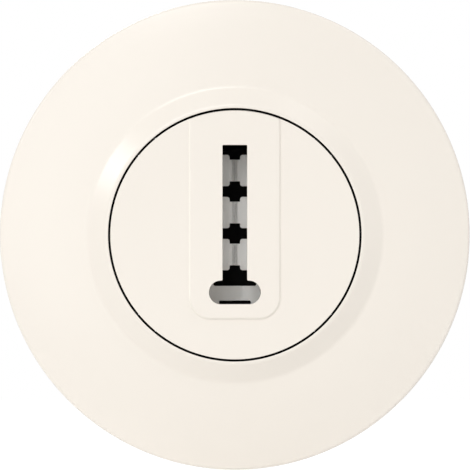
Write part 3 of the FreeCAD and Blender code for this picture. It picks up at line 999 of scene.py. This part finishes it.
@dataclass
class Mechanism:
    """The frame, the contact housing and the terminal base, with softened edges."""

    sheet_edge: float = 0.12
    moulded_edge: float = 0.12
    numeral_size: float = 2.9
    numeral_height: float = 0.2
    numeral_x: float = 4.7
    base_back: float = 16.0
    groove_half: float = 0.6
    groove_front: float = 4.1
    groove_back: float = 5.1
    groove_z: tuple[float, float] = (-9.0, 19.45)
    key_pit: tuple[tuple[float, float], ...] = (
        (-5.6, 3.0), (5.6, 3.0), (5.6, 5.6), (4.2, 6.05), (3.1, 6.35), (2.0, 6.55), (0.9, 6.6))
    key_pit_z: tuple[float, float] = (-15.05, -10.6)

    def build(self) -> None:
        """Make the three large hidden parts from copies of their CAD nodes."""
        sheet = Form().from_node("support_frame").soften(self.sheet_edge)
        sheet.piece("support_frame_sheet", Slot.ZINC, ZINC.material(), ["support_frame"])
        housing = Form().from_node("contact_housing")
        groove = [(-self.groove_half, self.groove_front), (self.groove_half, self.groove_front),
                  (0.0, self.groove_back)]
        housing.cut(Form().slab(groove, *self.groove_z))
        housing.cut(Form().slab(self.key_pit, *self.key_pit_z)).soften(self.moulded_edge)
        housing.piece("contact_housing_moulding", Slot.GREY, GREY.material(), ["contact_housing"])
        base = Form().from_node("terminal_base").soften(self.moulded_edge)
        base.piece("terminal_base_moulding", Slot.DARK, DARK.material(), ["terminal_base"])
        numerals = Form()
        for pair, level in enumerate(LEVELS):
            for side, x in enumerate((self.numeral_x, -self.numeral_x)):
                numerals.numeral(str(2 * pair + side + 1), self.numeral_size, x, self.base_back, level,
                                 self.numeral_height)
        numerals.piece("terminal_numerals", Slot.IVORY, IVORY.material())


@dataclass
class Terminals:
    """The contact strips, the clamp washers and the screws."""

    strip_edge: float = 0.06
    clamp_edge: float = 0.1
    pitch: float = 0.6
    thread_depth: float = 0.28
    thread_root: float = 0.1
    thread_crest: float = 0.05
    thread_share: float = 0.42
    thread_steps: int = 24
    thread_start: float = 0.15
    screw_steps: int = 64
    tip_share: float = 0.55
    seat_round: float = 0.1
    head_round: float = 0.45
    slot_width: float = 0.8
    slot_depth: float = 0.9
    cross_width: float = 0.75
    cross_reach: float = 1.25
    cross_depth: float = 1.1
    columns: tuple[float, ...] = (-10.0, 10.0)
    body_levels: tuple[float, ...] = (-17.52, 21.95)
    turns: tuple[float, float] = (17.0, 41.0)
    body_turns: tuple[float, float] = (25.0, 65.0)

    def thread(self, radius: float, low: float, high: float) -> Form:
        """A helical ridge around a shank.

        Args:
            radius: The shank's outer radius.
            low: The depth where the ridge starts.
            high: The depth where it ends.

        Returns:
            The ridge, closed at both ends.
        """
        form = Form()
        root = radius - self.thread_depth - self.thread_root
        half = self.pitch * self.thread_share
        edges = form.loop([(root, -half), (radius, -self.thread_crest), (radius, self.thread_crest),
                           (root, half)])
        verts = corners_of(edges)
        end = bmesh.ops.contextual_create(form.bm, geom=edges)["faces"]
        steps = int((high - low - 2 * half) / self.pitch * self.thread_steps)
        bmesh.ops.spin(form.bm, geom=[*end, *edges, *verts], cent=ORIGIN, axis=AXIS,
                       dvec=(0, self.pitch / self.thread_steps, 0), steps=steps,
                       angle=2 * math.pi * steps / self.thread_steps, use_merge=False,
                       use_duplicate=False)
        return form.moved(y=low + half).closed()

    def screw(self, head: float, seat: float, top: float, shank: float, tip: float) -> Form:
        """A pan-head screw with a slot and a cross, on the centre line.

        Args:
            head: The head's radius.
            seat: The depth under the head.
            top: The depth of the head's top.
            shank: The thread's outer radius.
            tip: The depth of the tip.

        Returns:
            The screw.
        """
        core = shank - self.thread_depth
        corners = [(0.0, tip), (core * self.tip_share, tip), (core, tip + core * (1 - self.tip_share)),
                   (core, seat), (head, seat), (head, top), (0.0, top)]
        form = Form().lathe(corners, {4: self.seat_round, 5: self.head_round}, steps=self.screw_steps,
                            segments=4)
        above, reach = top + OVERRUN, head + OVERRUN
        slot = Form().block((-reach, reach), (top - self.slot_depth, above),
                            (-self.slot_width / 2, self.slot_width / 2))
        cross = Form().block((-self.cross_width / 2, self.cross_width / 2),
                             (top - self.cross_depth, above), (-self.cross_reach, self.cross_reach))
        form.cut(slot).cut(cross)
        return form.add(self.thread(shank, tip + self.thread_start, seat))

    @staticmethod
    def drive(screw: Form, places: Iterable[tuple[float, float]], turns: tuple[float, float]) -> Form:
        """Put copies of a screw in their places.

        Args:
            screw: The screw, on the centre line.
            places: The x and z of each copy.
            turns: How far the first copy is turned, and how much further each next one, in degrees.

        Returns:
            All the screws.
        """
        screws = Form()
        first, further = turns
        for count, (x, z) in enumerate(places):
            screws.add(screw.copy().turned(first + further * count).moved(x=x, z=z))
        return screws

    def build(self) -> None:
        """Make the small metal parts."""
        bronze, zinc, steel = BRONZE.material(), ZINC.material(), SCREW.material()
        for number in range(1, len(self.columns) * len(LEVELS) + 1):
            strip = Form().from_node(f"contact_{number}").soften(self.strip_edge, 1)
            strip.piece(f"contact_strip_{number}", Slot.BRONZE, bronze, [f"contact_{number}"])
            clamp = Form().from_node(f"terminal_clamp_{number}").soften(self.clamp_edge)
            clamp.piece(f"clamp_washer_{number}", Slot.ZINC, zinc, [f"terminal_clamp_{number}"])
        short = self.screw(head=2.75, seat=9.0, top=11.0, shank=1.45, tip=4.8)
        places = [(x, z) for x in self.columns for z in LEVELS]
        screws = self.drive(short, places, self.turns)
        screws.piece("terminal_screw_set", Slot.SCREW, steel, ["terminal_screws"])
        long = self.screw(head=2.1, seat=10.0, top=11.4, shank=1.05, tip=1.0)
        pair = self.drive(long, [(0.0, z) for z in self.body_levels], self.body_turns)
        pair.piece("body_screw_pair", Slot.SCREW, steel, ["body_screws"])


@dataclass(frozen=True)
class Lamp:
    """A large round soft lamp that shines at the middle of the object."""

    name: str
    tilt: float
    bearing: float
    level: float
    distance: float = 3000.0
    size: float = 900.0

    def hang(self) -> None:
        """Hang the lamp at its tilt from the camera's axis and its bearing round that axis.

        The bearing is in degrees, from the right (0) over the top (90) to the left (180). The level
        is what a white matt surface that faces the lamp would send back.
        """
        data = bpy.data.lights.new(self.name, "AREA")
        data.shape = "DISK"
        data.size = self.size * METRES
        data.energy = self.level * (math.pi * self.distance * METRES) ** 2
        tilt, bearing = math.radians(self.tilt), math.radians(self.bearing)
        towards = Vector((math.sin(tilt) * math.cos(bearing), -math.cos(tilt),
                          math.sin(tilt) * math.sin(bearing)))
        item = bpy.data.objects.new(self.name, data)
        item.location = towards * (self.distance * METRES)
        item.rotation_euler = (-towards).to_track_quat("-Z", "Y").to_euler()
        bpy.context.scene.collection.objects.link(item)


@dataclass
class Studio:
    """The camera, the lamps, the white surroundings and the pale floor."""

    lens: float = 600.0
    sensor: float = 36.0
    view_width: float = 102.0
    focus_depth: float = -4.2
    view_shift: float = 0.035
    floor_level: float = -55.0
    floor_half_width: float = 600.0
    floor_front: float = -300.0
    floor_back: float = 900.0
    floor_colour: tuple[float, ...] = (0.92, 0.92, 0.92, 1.0)
    floor_glow: float = 1.2
    floor_glow_share: float = 0.7
    clip_metres: tuple[float, float] = (0.05, 20.0)
    sky: float = 0.485
    lamps: tuple[Lamp, ...] = (
        Lamp("key", 52.0, 150.0, 0.145, size=820.0),
        Lamp("front", 17.0, 155.0, 0.097, size=1600.0),
        Lamp("top", 35.0, 105.0, 0.161, size=1100.0),
        Lamp("side", 70.0, 60.0, 0.167, size=1600.0),
        Lamp("left", 83.0, 180.0, 0.025, size=450.0),
        Lamp("back", 140.0, 120.0, 0.3),
    )

    def camera(self) -> None:
        """Place the camera straight in front, filling the frame with the plate."""
        data = bpy.data.cameras.new("camera")
        data.lens = self.lens
        data.sensor_width = self.sensor
        data.clip_start, data.clip_end = self.clip_metres
        distance = self.view_width * self.lens / self.sensor
        item = bpy.data.objects.new("camera", data)
        shift = self.view_shift
        item.location = Vector((shift, self.focus_depth - distance, -shift)) * METRES
        item.rotation_euler = (math.pi / 2, 0, 0)
        bpy.context.scene.collection.objects.link(item)
        bpy.context.scene.camera = item

    def surroundings(self) -> None:
        """Light the scene evenly, and show plain white to the camera and in reflections."""
        graph = Graph(bpy.data.worlds.new("surroundings"))
        camera, glossy, through = (graph.node("ShaderNodeLightPath", output=f"Is {ray} Ray")
                                   for ray in ("Camera", "Glossy", "Transmission"))
        seen = camera.maths("MAXIMUM", glossy).maths("MAXIMUM", through)
        light = graph.node("ShaderNodeBackground", inputs={"Color": WHITE, "Strength": self.sky})
        white = graph.node("ShaderNodeBackground", inputs={"Color": WHITE, "Strength": 1.0})
        mixed = graph.node("ShaderNodeMixShader", inputs={"Fac": seen, 1: light, 2: white})
        graph.node("ShaderNodeOutputWorld", inputs={"Surface": mixed})
        bpy.context.scene.world = graph.owner

    def floor(self) -> None:
        """Lay the pale floor just under the object."""
        graph = Graph(bpy.data.materials.new("pale_floor"))
        lit = graph.node("ShaderNodeBsdfDiffuse", inputs={"Color": self.floor_colour})
        glow = graph.node("ShaderNodeEmission", inputs={"Color": WHITE, "Strength": self.floor_glow})
        share = graph.node("ShaderNodeLightPath", output="Is Camera Ray") * self.floor_glow_share
        mixed = graph.node("ShaderNodeMixShader", inputs={"Fac": share, 1: lit, 2: glow})
        graph.node("ShaderNodeOutputMaterial", inputs={"Surface": mixed})
        form = Form()
        bmesh.ops.create_grid(form.bm, x_segments=8, y_segments=8, size=1.0)
        depth = self.floor_back - self.floor_front
        bmesh.ops.scale(form.bm, vec=(self.floor_half_width, depth / 2, 1), verts=form.bm.verts[:])
        form.moved(y=(self.floor_back + self.floor_front) / 2, z=self.floor_level)
        bmesh.ops.scale(form.bm, vec=(METRES,) * 3, verts=form.bm.verts[:])
        item = bpy.data.objects.new("floor", form.mesh("floor"))
        item.data.materials.append(graph.owner)
        bpy.context.scene.collection.objects.link(item)

    def build(self) -> None:
        """Set up everything around the object."""
        bpy.context.scene.view_settings.view_transform = "Standard"
        self.camera()
        for lamp in self.lamps:
            lamp.hang()
        self.surroundings()
        self.floor()


def main() -> None:
    """Build every sub-assembly."""
    logging.basicConfig(level=logging.INFO, format="%(name)s: %(message)s")
    for part in (CoverPlate(), TrimDisc(), Mechanism(), Terminals(), Studio()):
        part.build()


if __name__ == "__main__":
    main()
